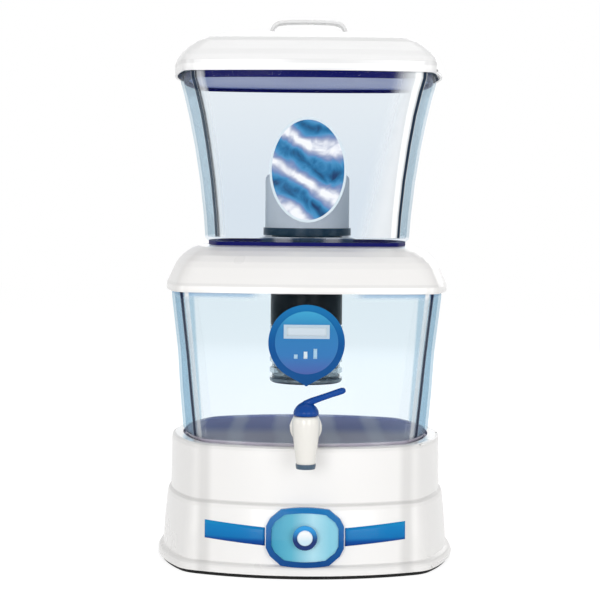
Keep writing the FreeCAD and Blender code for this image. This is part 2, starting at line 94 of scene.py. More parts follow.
# White plastics, and the lines of painted shade where their moulds step: height, half width, strength
WHITE = (0.90, 0.90, 0.90)
WARM_WHITE = (0.90, 0.888, 0.872)
LID_LINES = ((0.5292, 0.0013, 0.24), (0.5212, 0.0004, 0.10))
COLLAR_LINES = ((0.3005, 0.0006, 0.16), (0.2935, 0.0004, 0.12))
BASE_LINES = ((0.0752, 0.0010, 0.34), (0.0125, 0.0008, 0.22), (0.131, 0.0004, 0.10))
LINE_SOFT = 0.0016
LINE_SHADE = 0.45

# Painted shade at the bends at both ends of the stand's front
BEND_X = (0.104, 0.107)
BEND_SOFT = 0.009
BEND_FRONT_Y = (-0.09, -0.11)
BEND_SHADE = 0.62
BEND_SHARE = 0.46

# The clear tanks. The tints are those of the see-through panels, and the film is the wall's own pale colour,
# which also shows as the painted sheen.
UPPER_WALL = {
    "low_tint": (0.912, 0.938, 0.962), "high_tint": (0.945, 0.962, 0.975), "tint_rise": (0.36, 0.54),
    "side_tint": (0.80, 0.862, 0.90), "film": (0.93, 0.96, 0.98),
    "line": (0.02, 0.035, 0.06), "line_share": 0.88,
    "sheen_x": (-0.034, -0.004), "sheen_slope": 0.23, "sheen_share": 0.72,
    # The floor: a painted shadow of the filter's flange, dark grey-blue, across the middle
    "floor_z": 0.3485, "floor_half": 0.045, "floor_share": 0.45,
    "floor_back": (0.05, 0.09, 0.15), "floor_front": (0.05, 0.09, 0.15),
}
LOWER_WALL = {
    "low_tint": (0.952, 0.973, 0.987), "high_tint": (0.925, 0.958, 0.975), "tint_rise": (0.13, 0.27),
    "side_tint": (0.74, 0.84, 0.90), "film": (0.80, 0.90, 0.96),
    "line": (0.02, 0.03, 0.07), "line_share": 0.85,
    "sheen_x": (0.04, 0.12), "sheen_slope": 0.1, "sheen_share": 0.04,
    # The floor: lavender, with painted shade that is greyer towards the front
    "floor_z": 0.1362, "floor_half": 0.14, "floor_share": 0.86,
    "floor_back": (0.36, 0.38, 0.64), "floor_front": (0.68, 0.64, 0.74),
    # top_band: painted shade at the top, under the collar's rim: its colour and where it starts
    "top_band": ((0.34, 0.54, 0.76), 0.2845), "corner_x": (0.1055, 0.083),
}
# The painted highlight beside the corner line: its colour and its share
WALL_HIGHLIGHT = (0.97, 0.99, 1.0)
WALL_HIGHLIGHT_SHARE = 0.34
WALL_SIDE_SHARE = 0.05
WALL_TOP_SHARE = 0.46
WALL_TOP_RISE = 0.006
WALL_TOP_X = (0.041, 0.062)  # the band of painted shade at the top leaves the middle clear
WALL_FRONT_Y = (0.02, -0.02)
# Painted reflection streaks across the tank floors: their colour and share
FLOOR_STREAKS = (0.93, 0.93, 0.97)
FLOOR_STREAKS_SHARE = 0.42
FLOOR_EDGE = 0.006

# Where the corner line of painted dark shade lies, with its painted highlight beside it: on the outline's
# diagonal, or outwards from it. Bands: from, to, soft edge
DIAGONAL = 1.028
DIAGONAL_SCALE = 0.06
DARK_BAND = (-0.0011, 0.0013, 0.0012)
HIGHLIGHT_BAND = (-0.0066, -0.0042, 0.0022)
SIDE_START = (0.001, 0.003)

# Smoky clear plastic of the cartridge: its rings as (height, half width)
CHAMBER_RINGS = ((0.2515, 0.0008), (0.2400, 0.0005), (0.2285, 0.0005), (0.2170, 0.0005), (0.2055, 0.0005),
                 (0.1950, 0.0008))
CAP_RINGS = ((0.1885, 0.0010), (0.1935, 0.0005))
RING_SOFT = 0.0006
RING_DARK = (0.03, 0.05, 0.07)

# Plain moulded plastics: name, colour, settings, CAD nodes
PLASTICS = (
    ("handle_white", tuple(c * 0.92 for c in WHITE), {"roughness": 0.28, "coat": 0.2}, ("upper_lid_handle",)),
    ("tap_cream", (0.84, 0.82, 0.77), {"roughness": 0.25, "coat": 0.3, "shade": 0.97},
     ("tap_body", "tap_back_nut")),
    ("black_plastic", (0.005, 0.008, 0.011), {"roughness": 0.32, "coat": 0.0, "shade": 0.7, "specular": 0.1},
     ("cartridge_cap", "cartridge_body", "stem_nut")),
    ("valve_plastic", (0.72, 0.72, 0.72), {"roughness": 0.4, "coat": 0.0}, ("tap_valve_plug",)),
    ("lever_blue", (0.002, 0.064, 0.33), {"roughness": 0.2, "coat": 0.04, "shade": 0.8, "specular": 0.15},
     ("tap_lever",)),
    ("dark_teal", (0.008, 0.045, 0.08), {"roughness": 0.3, "coat": 0.0, "shade": 0.8, "specular": 0.2},
     ("filter_flange",)),
    ("outlet_grey", (0.05, 0.10, 0.16), {"roughness": 0.3, "coat": 0.0, "shade": 0.8}, ("tap_outlet_ring",)),
    ("stem_grey", (0.10, 0.14, 0.20), {"roughness": 0.4, "coat": 0.1}, ("filter_stem",)),
    ("print_pale", (0.50, 0.64, 0.76), {"roughness": 0.3, "coat": 0.4, "shade": 0.8}, ("badge_bar",)),
    ("label_edge", (0.66, 0.76, 0.83), {"roughness": 0.3, "coat": 0.1, "shade": 0.95, "specular": 0.2},
     ("upper_label_rim",)),
)
MARK_SETTINGS = {"roughness": 0.3, "coat": 0.0, "specular": 0.2}

# Blends of the front trim, as (place, colour) from the first height to the second, or across x for the face
FRAME_BLUES = ((0.0, (0.003, 0.06, 0.24)), (0.55, (0.005, 0.11, 0.36)), (1.0, (0.010, 0.18, 0.46)))
FRAME_Z = (0.012, 0.074)
# The face: teal on the left to cyan on the right, with a painted highlight at its palest stop
FACE_CYANS = ((0.0, (0.05, 0.34, 0.52)), (0.30, (0.12, 0.47, 0.62)), (0.62, (0.46, 0.77, 0.87)),
              (0.88, (0.26, 0.62, 0.76)))
FACE_X = (-0.034, 0.034)
# The stripes: blue, darker along the lower edge, with a painted highlight along the upper part
STRIPE_BLUES = ((0.0, (0.0, 0.045, 0.26)), (0.20, (0.002, 0.07, 0.32)), (0.34, (0.004, 0.17, 0.46)),
                (0.80, (0.005, 0.21, 0.52)), (1.0, (0.010, 0.27, 0.56)))
STRIPE_BLEND_Z = (0.0335, 0.0560)
BADGE_RING_BLUES = ((0.0, (0.006, 0.08, 0.27)), (0.5, (0.004, 0.085, 0.30)), (1.0, (0.008, 0.17, 0.42)))
BADGE_RING_Z = (0.197, 0.281)
BADGE_BLUES = ((0.0, (0.075, 0.13, 0.40)), (0.3, (0.04, 0.19, 0.47)), (0.7, (0.03, 0.20, 0.46)),
               (1.0, (0.05, 0.36, 0.60)))
BADGE_Z = (0.2095, 0.2745)

# Button: where its white middle ends, and how far up and down its painted shading runs
BUTTON_MIDDLE_R = (0.0076, 0.0082)
BUTTON_RING_SHADE = (-0.004, 0.011)
BUTTON_MIDDLE_SHADE = (-0.006, 0.006)

# Oval label's print and the stones' tones
RIPPLE_TURN_DEG = -34
RIPPLE_TONES = ((0.16, (0.005, 0.035, 0.12)), (0.28, (0.015, 0.15, 0.34)), (0.42, (0.06, 0.27, 0.52)),
                (0.56, (0.16, 0.24, 0.46)), (0.70, (0.36, 0.41, 0.56)), (0.86, (0.86, 0.88, 0.93)))
STONE_TONES = ((0.1, (0.10, 0.09, 0.09)), (0.35, (0.42, 0.38, 0.34)), (0.6, (0.66, 0.63, 0.58)),
               (0.9, (0.80, 0.79, 0.77)))

# Stripes: x, lower edge and upper edge of the outer and the inner end
STRIPE_OUTER = (0.104, 0.0380, 0.0565)
STRIPE_INNER = (0.0412, 0.0335, 0.0520)
STRIPE_PROUD = 0.0009

# Marks on the badge: x and height of each level bar, and the band in the window
LEVELS = ((-0.011, 0.0045), (-0.001, 0.0075), (0.009, 0.0105))
LEVEL_HALF = 0.0019
LEVEL_FOOT_Z = 0.2255
LEVEL_PROUD = 0.0004
WINDOW_HALF = 0.0205
WINDOW_Z = (0.2490, 0.2580)
WINDOW_PROUD = 0.0003

# Inlays run this far into what carries them, and their edges are this much lower
INLAY_DEEP = 0.0006
INLAY_EDGE = 0.4

# Beads: name, CAD node, height, radius, place outwards, body
BEADS = (
    ("lid_rim_bead", "upper_lid", 0.5225, 0.0016, -0.0006, "upper_lid"),
    ("collar_rim_bead", "collar_lid", 0.2950, 0.0017, -0.0006, "collar"),
    ("base_top_bead", "base_shell", 0.1325, 0.0012, -0.0004, "base"),
    ("base_foot_bead", "base_shell", 0.0062, 0.0015, -0.0005, "base"),
)
BEAD_SIDES = 10
LOOP_LEAST_STEP = 0.0012

# Tap, in millimetres: the barrel's closed section as (radius, height), then the shank's as (radius, y)
TAP_Y_MM = -175.0
BARREL = ((9.0, 170.9), (8.5, 170.4), (8.5, 138), (7.0, 136), (7.0, 128), (7.2, 121.4), (8.6, 120.6),
          (9.3, 121.6), (9.7, 125), (10.6, 132), (11.9, 141), (13.1, 150), (13.7, 157), (13.8, 164),
          (13.6, 168.4), (12.8, 170.6), (11.4, 171.1), (10.0, 171.1))
BARREL_SIDES = 56
SHANK_Z_MM = 155.0
SHANK_SIDES = 40
SHANK_FRONT = ((9.4, -165.6), (9.8, -150.0), (10.4, -143.0), (15.4, -140.6), (16.6, -139.4), (16.6, -136.2),
               (16.0, -135.6), (8.6, -135.6))
SHANK_BACK = ((8.1, -101.0), (7.2, -100.2), (0.4, -100.2))
THREAD_START_MM = -135.0
THREAD_PITCH_MM = 2.2
THREAD_TURNS = 16
THREAD = ((8.1, 0.0), (8.9, 0.7), (8.9, 1.1), (8.1, 1.8))  # one turn: radius and y past the turn's start

# Lever, in millimetres: the hub as (radius, height), the arm as (x, height, half width, half thickness)
HUB = ((11.6, 171.6), (12.6, 172.6), (12.9, 174.6), (12.2, 177.4), (10.2, 180.6), (7.6, 183.2), (4.6, 185.0),
       (1.0, 185.6))
HUB_SIDES = 48
ARM = ((-4.0, 179.5, 4.6, 4.4), (0.0, 183.2, 5.0, 4.2), (6.0, 186.4, 4.8, 3.5), (14.0, 189.4, 4.4, 3.2),
       (24.0, 192.9, 4.2, 3.1), (32.0, 195.7, 4.5, 3.3), (36.5, 197.2, 4.5, 3.2), (38.6, 197.9, 3.4, 2.4),
       (39.4, 198.2, 1.4, 1.0))
ARM_SIDES = 24
ARM_ROUNDNESS = (0.8, 0.8)

# Handle, in millimetres: half of its bow from the middle outwards, as (x, height)
BOW = ((0.0, 582.2), (14.0, 582.0), (27.0, 581.5), (33.0, 580.2), (37.2, 577.4), (39.6, 573.0), (40.6, 568.0),
       (41.0, 562.0))
BOW_HALF_WIDTH = 12.5
BOW_NARROWING = 2.5  # how much narrower the band is in its middle
BOW_HALF_THICK = 2.5
BOW_SIDES = 28
BOW_ROUNDNESS = (0.55, 0.75)

# Lid: its dome starts here and is lowered towards the shoulders
DOME_Z = 0.531
DOME_HALF = (0.1448, 0.139)
DOME_RISE = 0.985
SHOULDER_DROP = 0.20
SHOULDER_START = 0.25
SHOULDER_RUN = 0.6
CREASE_DEG = 32

# Stones in the clear chamber
STONE_SEED = 7
STONE_LAYERS = 5
STONES_A_LAYER = 10
STONE_SIZE = 0.62  # as a share of a layer's height
LAYER_TURN_DEG = 21


class Nodes:
    """A short way to write one material's node tree."""

    def __init__(self, name):
        self.material = bpy.data.materials.new(name)
        self.material.use_nodes = True
        self.tree = self.material.node_tree
        self.bsdf = self.tree.nodes["Principled BSDF"]
        self.output = self.tree.nodes["Material Output"]
        self.coords = self.tree.nodes.new("ShaderNodeTexCoord").outputs["Object"]

    def new(self, kind, **settings):
        node = self.tree.nodes.new("ShaderNode" + kind)
        for key, value in settings.items():
            setattr(node, key, value)
        return node

    def link(self, source, target):
        self.tree.links.new(source, target)

    def put(self, value, target):
        if isinstance(value, bpy.types.NodeSocket):
            self.link(value, target)
        elif hasattr(target.default_value, "__len__") and len(value) == 3 and len(target.default_value) == 4:
            target.default_value = (*value, 1)
        else:
            target.default_value = value

    def colour(self, value):
        self.put(value, self.bsdf.inputs["Base Color"])

    def math(self, operation, a, b=0.0, clamp=False):
        node = self.new("Math", operation=operation, use_clamp=clamp)
        self.put(a, node.inputs[0])
        self.put(b, node.inputs[1])
        return node.outputs[0]

    def both(self, a, b):
        return self.math("MULTIPLY", a, b)

    def total(self, *parts):
        """The sum of (mask, share) pairs, up to 1."""
        total = self.both(*parts[0])
        for mask, share in parts[1:]:
            total = self.math("ADD", total, self.both(mask, share), clamp=True)
        return total

    def mix(self, factor, a, b):
        node = self.new("Mix", data_type="RGBA")
        self.put(factor, node.inputs["Factor"])
        self.put(a, node.inputs["A"])
        self.put(b, node.inputs["B"])
        return node.outputs["Result"]

    def noise(self, scale, detail=4.0, distortion=0.0, coords=None):
        node = self.new("TexNoise")
        node.inputs["Scale"].default_value = scale
        node.inputs["Detail"].default_value = detail
        node.inputs["Distortion"].default_value = distortion
        self.link(coords or self.coords, node.inputs["Vector"])
        return node.outputs["Fac"]

    def waves(self, direction, scale, distortion, detail, detail_scale=1.0, coords=None):
        node = self.new("TexWave", wave_type="BANDS", bands_direction=direction)
        node.inputs["Scale"].default_value = scale
        node.inputs["Distortion"].default_value = distortion
        node.inputs["Detail"].default_value = detail
        node.inputs["Detail Scale"].default_value = detail_scale
        self.link(coords or self.coords, node.inputs["Vector"])
        return node.outputs["Fac"]

    def ramp(self, factor, stops):
        node = self.new("ValToRGB")
        elements = node.color_ramp.elements
        while len(elements) < len(stops):
            elements.new(0.5)
        for element, (position, colour) in zip(elements, stops):
            element.position = position
            element.color = (*colour, 1)
        self.link(factor, node.inputs["Fac"])
        return node.outputs["Color"]

    def step(self, value, low, high):
        """0 at low, 1 at high, and smooth between them."""
        node = self.new("MapRange", interpolation_type="SMOOTHSTEP")
        self.put(value, node.inputs["Value"])
        node.inputs["From Min"].default_value = low
        node.inputs["From Max"].default_value = high
        return node.outputs["Result"]

    def band(self, value, low, high, soft):
        """1 between low and high, with soft edges."""
        rise = self.step(value, low - soft, low)
        fall = self.step(value, high, high + soft)
        return self.math("SUBTRACT", rise, fall)

    def xyz(self):
        node = self.new("SeparateXYZ")
        self.link(self.coords, node.inputs[0])
        return node.outputs

    def corner_place(self):
        """1 on the diagonal of the outline, above 1 towards the front or back, below 1 towards a side."""
        x, y, _ = self.xyz()
        across = self.math("MAXIMUM", self.both(self.math("ABSOLUTE", x), DEPTH), 1e-4)
        return self.math("DIVIDE", self.math("ABSOLUTE", y), across)

    def bump(self, height, distance, strength):
        node = self.new("Bump")
        node.inputs["Strength"].default_value = strength
        node.inputs["Distance"].default_value = distance
        self.link(height, node.inputs["Height"])
        self.link(node.outputs["Normal"], self.bsdf.inputs["Normal"])

    def finish(self, roughness, spread=0.06, scale=40.0, coat=0.0, specular=0.5):
        """Roughness that varies a little over the surface, and a clear top coat."""
        node = self.new("MapRange")
        self.link(self.noise(scale), node.inputs["Value"])
        node.inputs["To Min"].default_value = max(roughness - spread, 0.02)
        node.inputs["To Max"].default_value = roughness + spread
        self.link(node.outputs["Result"], self.bsdf.inputs["Roughness"])
        self.bsdf.inputs["Coat Weight"].default_value = coat
        self.bsdf.inputs["Coat Roughness"].default_value = 0.08
        self.bsdf.inputs["Specular IOR Level"].default_value = specular

    def layered(self, share, below, above):
        """A mix of two shader nodes, with this share of the one above."""
        node = self.new("MixShader")
        self.link(share, node.inputs[0])
        self.link(below.outputs[0], node.inputs[1])
        self.link(above.outputs[0], node.inputs[2])
        return node

    def surface(self, shader):
        self.link(shader.outputs[0], self.output.inputs["Surface"])


def darker(colour, share):
    return tuple(c * share for c in colour)


def moulded(name, colour, roughness=0.25, coat=0.3, shade=0.975, specular=0.5):
    """Moulded plastic: faint clouding, fine grain and uneven gloss."""
    n = Nodes(name)
    n.colour(n.mix(n.noise(6.0, 2.0), darker(colour, shade), colour))
    n.bump(n.noise(60.0, 1.0), distance=0.00006, strength=0.2)
    n.finish(roughness, coat=coat, specular=specular)
    return n.material


def lined_white(name, colour, lines, bend_share=0.0):
    """White plastic with faint lines of painted shade where the mould steps and, on the stand, painted shade at
    the bends.
    """
    n = Nodes(name)
    x, y, z = n.xyz()
    shaded = n.mix(n.noise(4.0, 1.0), darker(colour, 0.985), colour)
    # A line of painted shade at each mould step
    for height, half, strength in lines:
        line = n.band(z, height - half, height + half, LINE_SOFT)
        shaded = n.mix(n.both(line, strength), shaded, darker(colour, LINE_SHADE))
    if bend_share:
        # Painted shade at the bends of the stand's front
        bend = n.both(n.band(n.math("ABSOLUTE", x), *BEND_X, BEND_SOFT), n.step(y, *BEND_FRONT_Y))
        shaded = n.mix(n.both(bend, bend_share), shaded, darker(colour, BEND_SHADE))
    n.colour(shaded)
    n.bump(n.noise(38.0, 1.0), distance=0.00025, strength=0.12)
    n.finish(0.28, spread=0.02, scale=9.0, coat=0.25)
    return n.material


def clear_wall(name, low_tint, high_tint, tint_rise, side_tint, film, line, line_share, sheen_x, sheen_slope,
               sheen_share, floor_z, floor_half, floor_share, floor_back, floor_front, top_band=None,
               corner_x=None):
    """Tinted clear plastic: see-through panels, darker side panels, corner lines of painted dark shade with a
    painted highlight line beside.

    The panels go from the low tint to the high one over the heights of tint_rise. The sheen, a pale painted
    reflection, starts on the right between the two x of sheen_x, which slope with the height. top_band is the
    colour and the start of a band of painted shade at the top. corner_x is the corner line's x at height 0 and
    its slope, where the line isn't on the outline's diagonal.
    """
    n = Nodes(name)
    x, y, z = n.xyz()
    wide = n.math("ABSOLUTE", x)
    if corner_x:
        off = n.math("SUBTRACT", wide, n.math("ADD", corner_x[0], n.both(z, corner_x[1])))
    else:
        off = n.both(n.math("SUBTRACT", DIAGONAL, n.corner_place()), DIAGONAL_SCALE)
    upright = n.step(z, floor_z, floor_z + MM)
    flat = n.math("SUBTRACT", 1.0, upright)
    seen = n.both(n.step(y, *WALL_FRONT_Y), upright)
    # Painted dark shade along the corner line, and a painted highlight line beside it
    dark = n.both(n.band(off, *DARK_BAND), seen)
    pale = n.both(n.band(off, *HIGHLIGHT_BAND), seen)
    side = n.both(n.step(off, *SIDE_START), upright)
    ahead = n.both(seen, n.math("SUBTRACT", 1.0, side))
    # Painted sheen: a pale painted reflection on the right of the front panel
    sheen = n.step(n.math("SUBTRACT", x, n.both(z, sheen_slope)), *sheen_x)
    floor_seen = n.both(flat, n.step(wide, floor_half + FLOOR_EDGE, floor_half))
    shares = [(n.both(sheen, ahead), sheen_share), (floor_seen, floor_share), (side, WALL_SIDE_SHARE),
              (dark, line_share), (pale, WALL_HIGHLIGHT_SHARE)]

    own = n.mix(n.noise(5.0, 2.0, 0.6), film, darker(film, 0.93))
    # A band of painted shade at the top of the wall
    if top_band:
        shade, start = top_band
        shaded = n.both(n.step(z, start, start + WALL_TOP_RISE), n.step(wide, *WALL_TOP_X))
        own = n.mix(shaded, own, shade)
        shares.append((shaded, WALL_TOP_SHARE))
    # Paint the corner's dark shade line and its highlight over the wall's own colour
    own = n.mix(pale, n.mix(dark, own, line), WALL_HIGHLIGHT)
    # The floor's colour from front to back, with painted reflection streaks across it
    bottom = n.mix(n.step(y, -0.05, 0.03), floor_front, floor_back)
    painted_streaks = n.both(n.step(n.waves("X", 6.2, 1.6, 2.0), 0.50, 1.0), FLOOR_STREAKS_SHARE)
    n.colour(n.mix(upright, n.mix(painted_streaks, bottom, FLOOR_STREAKS), own))
    n.finish(0.4, spread=0.05, scale=60.0, specular=0.0)

    through = n.new("BsdfTransparent")
    panel = n.mix(n.step(z, *tint_rise), low_tint, high_tint)
    n.link(n.mix(side, panel, side_tint), through.inputs["Color"])
    gloss = n.new("BsdfGlossy")
    gloss.inputs["Roughness"].default_value = 0.05
    facing = n.new("LayerWeight")
    facing.inputs["Blend"].default_value = 0.22
    polish = n.both(facing.outputs["Fresnel"], n.math("ADD", n.both(upright, 0.08), 0.02))
    n.surface(n.layered(polish, n.layered(n.total(*shares), through, n.bsdf), gloss))
    return n.material


def smoky(name, rings, tint, film, facing_share, least_share):
    """Smoky clear plastic with dark rings at the given heights."""
    n = Nodes(name)
    z = n.xyz()["Z"]
    streaks = n.noise(90.0, 2.0)
    bands = [n.band(z, height - half, height + half, RING_SOFT) for height, half in rings]
    dark = bands[0]
    for other in bands[1:]:
        dark = n.math("MAXIMUM", dark, other)
    n.colour(n.mix(dark, n.mix(streaks, darker(film, 0.7), film), RING_DARK))
    n.finish(0.15, spread=0.05, scale=80.0, coat=0.2)
    through = n.new("BsdfTransparent")
    n.link(n.mix(streaks, darker(tint, 0.9), tint), through.inputs["Color"])
    facing = n.new("LayerWeight")
    facing.inputs["Blend"].default_value = 0.3
    share = n.math("ADD", n.both(facing.outputs["Facing"], facing_share), least_share)
    share = n.math("ADD", share, n.both(dark, 0.7), clamp=True)
    n.surface(n.layered(share, through, n.bsdf))
    return n.material


def rubber(name, colour):
    n = Nodes(name)
    n.colour(n.mix(n.noise(120.0), darker(colour, 0.7), colour))
    n.bump(n.noise(90.0, 2.0), distance=0.00008, strength=0.3)
    n.finish(0.55, spread=0.1, scale=90.0, specular=0.08)
    return n.material


def steel():
    n = Nodes("screw_steel")
    n.colour(n.mix(n.noise(300.0), (0.52, 0.52, 0.54), (0.68, 0.68, 0.70)))
    n.bsdf.inputs["Metallic"].default_value = 1.0
    n.finish(0.3, spread=0.1, scale=200.0)
    return n.material


def porous_white():
    """Pressed filter block: chalky, finely pitted, a little darker low down where it has worked."""
    n = Nodes("porous_white")
    stain = n.both(n.step(n.xyz()["Z"], 0.385, 0.36), n.step(n.noise(30.0), 0.3, 0.8))
    n.colour(n.mix(n.both(stain, 0.12), (0.93, 0.93, 0.93), (0.62, 0.64, 0.68)))
    n.bump(n.noise(900.0, 5.0), distance=0.0003, strength=0.6)
    n.finish(0.75, spread=0.08, scale=100.0, specular=0.25)
    return n.material


def blend(name, stops, span, axis="Z"):
    """A printed or moulded colour that changes along an axis, between the two places of span; on the medallion's
    face and the stripes it also holds a painted highlight.
    """
    n = Nodes(name)
    start, end = span
    place = n.math("DIVIDE", n.math("SUBTRACT", n.xyz()[axis], start), end - start, clamp=True)
    n.colour(n.ramp(place, stops))
    n.bump(n.noise(60.0, 1.0), distance=0.00004, strength=0.2)
    n.finish(0.22, spread=0.04, scale=50.0, coat=0.02, specular=0.1)
    return n.material


def ripple_print():
    """Generic print for the oval label: broad slanted ribbons of blue water, grey ice colours and white foam."""
    n = Nodes("ripple_print")
    turned = n.new("Mapping")
    turned.inputs["Rotation"].default_value = (0.0, math.radians(RIPPLE_TURN_DEG), 0.0)
    n.link(n.coords, turned.inputs["Vector"])
    slanted = turned.outputs[0]
    ribbons = n.waves("Z", 7.0, 6.0, 3.0, detail_scale=1.6, coords=slanted)
    fine = n.noise(55.0, 4.0, 1.4, slanted)
    n.colour(n.ramp(n.math("ADD", n.both(ribbons, 0.60), n.both(fine, 0.50)), RIPPLE_TONES))
    n.finish(0.22, spread=0.04, coat=0.04, specular=0.15)
    return n.material


def button_finish():
    """Navy ring, painted brighter at its upper edge and darker below, around a white middle painted bluer below.
    """
    n = Nodes("button_finish")
    low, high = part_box("medallion_button")
    centre = (low + high) / 2
    x, _, z = n.xyz()
    across = n.math("SUBTRACT", x, centre.x)
    up = n.math("SUBTRACT", z, centre.z)
    out = n.math("SQRT", n.math("ADD", n.math("POWER", across, 2.0), n.math("POWER", up, 2.0)))
    # Painted shading: ring and middle lighter at the top, darker below
    ring = n.mix(n.step(up, *BUTTON_RING_SHADE), (0.006, 0.03, 0.16), (0.03, 0.33, 0.75))
    middle = n.mix(n.step(up, *BUTTON_MIDDLE_SHADE), (0.62, 0.80, 0.90), (0.93, 0.95, 0.96))
    n.colour(n.mix(n.step(out, *BUTTON_MIDDLE_R), middle, ring))
    n.finish(0.18, spread=0.04, scale=60.0, coat=0.08, specular=0.2)
    return n.material


def tray_finish():
    """Lavender seat seen through the tank, with painted shade that is greyer towards the front, and faint painted
    reflection streaks, pale and dark, across it.
    """
    n = Nodes("tray_finish")
    x, y, _ = n.xyz()
    # Painted shade: greyer towards the front
    colour = n.mix(n.step(y, -0.06, 0.03), (0.34, 0.34, 0.44), (0.16, 0.17, 0.38))
    # Painted reflection streaks: pale ones, and one dark one
    pale = n.both(n.step(n.waves("X", 7.5, 2.0, 2.0), 0.62, 0.98), 0.55)
    colour = n.mix(pale, colour, (0.62, 0.64, 0.80))
    dark = n.both(n.band(x, -0.036, -0.022, 0.006), 0.5)
    n.colour(n.mix(dark, colour, (0.12, 0.12, 0.20)))
    n.bump(n.noise(60.0), distance=0.0002, strength=0.3)
    n.finish(0.35, scale=30.0, specular=0.1)
    return n.material


def stone_finish():
    n = Nodes("stone_finish")
    tone = n.ramp(n.new("NewGeometry").outputs["Random Per Island"], STONE_TONES)
    speckle = n.both(n.step(n.noise(700.0, 6.0), 0.45, 0.62), 0.35)
    n.colour(n.mix(speckle, tone, (0.2, 0.19, 0.18)))
    n.bump(n.noise(350.0, 5.0), distance=0.0004, strength=0.6)
    n.finish(0.45, spread=0.15, scale=150.0)
    return n.material


def plug_finish():
    n = Nodes("plug_finish")
    n.colour(n.mix(n.noise(12.0, 3.0), (0.15, 0.21, 0.60), (0.22, 0.30, 0.70)))
    n.bump(n.noise(50.0, 1.0), distance=0.00006, strength=0.3)
    n.finish(0.3, scale=30.0, specular=0.15)
    return n.material


def put_material(material, *names):
    for name in names:
        data = nodes[name].data
        data.materials.clear()
        data.materials.append(material)


def material_of(node):
    """The finish that a CAD node has, for the pieces that replace or trim it."""
    return nodes[node].data.materials[0]


def finishes():
    """Give every CAD node its material."""
    for name, colour, settings, names in PLASTICS:
        put_material(moulded(name, colour, **settings), *names)
    put_material(lined_white("lid_white", WHITE, LID_LINES), "upper_lid")
    put_material(lined_white("collar_white", WARM_WHITE, COLLAR_LINES), "collar_lid")
    put_material(lined_white("base_white", WARM_WHITE, BASE_LINES, BEND_SHARE), "base_shell")
    put_material(clear_wall("upper_clear", **UPPER_WALL), "upper_tank")
    put_material(clear_wall("lower_clear", **LOWER_WALL), "lower_tank")
    put_material(smoky("clear_ribbed", CHAMBER_RINGS, (0.90, 0.94, 0.96), (0.90, 0.95, 0.97), 0.34, 0.07),
                 "cartridge_chamber")
    put_material(smoky("smoky_ring", CAP_RINGS, (0.55, 0.60, 0.64), (0.55, 0.62, 0.66), 0.4, 0.3),
                 "cartridge_bottom")
    put_material(rubber("black_rubber", (0.02, 0.02, 0.02)), "base_foot_pads", "base_bottom_plate",
                 "stem_washer", "tap_outer_washer", "tap_inner_washer")
    put_material(rubber("navy_rubber", (0.004, 0.006, 0.13)), "collar_seal", "upper_lid_seal",
                 "upper_tank_gasket")
    put_material(steel(), "base_screws")
    put_material(tray_finish(), "seat_tray")
    put_material(plug_finish(), "upper_lid_plug")
    put_material(porous_white(), "filter_candle")
    put_material(stone_finish(), "mineral_stones")
    put_material(blend("frame_blue", FRAME_BLUES, FRAME_Z), "medallion_frame")
    put_material(blend("face_cyan", FACE_CYANS, FACE_X, axis="X"), "medallion_face")
    put_material(button_finish(), "medallion_button")
    put_material(blend("stripe_paint", STRIPE_BLUES, STRIPE_BLEND_Z), "stripe_left", "stripe_right")
    put_material(blend("badge_ring", BADGE_RING_BLUES, BADGE_RING_Z), "badge_plate")
    put_material(blend("badge_blue", BADGE_BLUES, BADGE_Z), "badge_face")
    put_material(ripple_print(), "upper_label_face")


def piece(name, bm, body, material):
    """Finish a mesh piece and let it ride on its body."""
    bmesh.ops.recalc_face_normals(bm, faces=bm.faces)
    for face in bm.faces:
        face.smooth = True
    mesh = bpy.data.meshes.new(name)
    bm.to_mesh(mesh)
    bm.free()
    obj = bpy.data.objects.new(name, mesh)
    bpy.context.scene.collection.objects.link(obj)
    mesh.materials.append(material)
    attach(obj, body)
    return obj


def turns(count):
    """Evenly spaced angles once round."""
    return [2 * math.pi * i / count for i in range(count)]


def skin(bm, rings, closed=False):
    """Join rings of points with faces; open runs of rings get end caps."""
    made = [[bm.verts.new(p) for p in ring] for ring in rings]
    pairs = list(zip(made, made[1:]))
    if closed:
        pairs.append((made[-1], made[0]))
    for a, b in pairs:
        for i in range(len(a)):
            k = (i + 1) % len(a)
            bm.faces.new((a[i], a[k], b[k], b[i]))
    if not closed:
        bm.faces.new(list(reversed(made[0])))
        bm.faces.new(made[-1])


def revolve(bm, profile, sides, closed=False):
    """Turn (radius, height) points in millimetres about the tap's upright axis."""
    skin(bm, [[(r * MM * math.cos(t), TAP_Y_MM * MM + r * MM * math.sin(t), z * MM) for t in turns(sides)]
              for r, z in profile], closed)


def swept_bar(bm, way, y, sides, roundness):
    """A rounded bar along points of (x, height, half width, half thickness) in millimetres, at one y."""
    rings = []
    for i, (x, z, wide, thick) in enumerate(way):
        a, b = way[max(i - 1, 0)], way[min(i + 1, len(way) - 1)]
        along = Vector((b[0] - a[0], 0, b[1] - a[1])).normalized()
        up = Vector((-along.z, 0, along.x))
        ring = []
        for t in turns(sides):
            c, s = (math.copysign(abs(value) ** power, value)
                    for value, power in zip((math.cos(t), math.sin(t)), roundness))
            ring.append((Vector((x, y, z)) + Vector((0, 1, 0)) * wide * c + up * thick * s) * MM)
        rings.append(ring)
    skin(bm, rings)


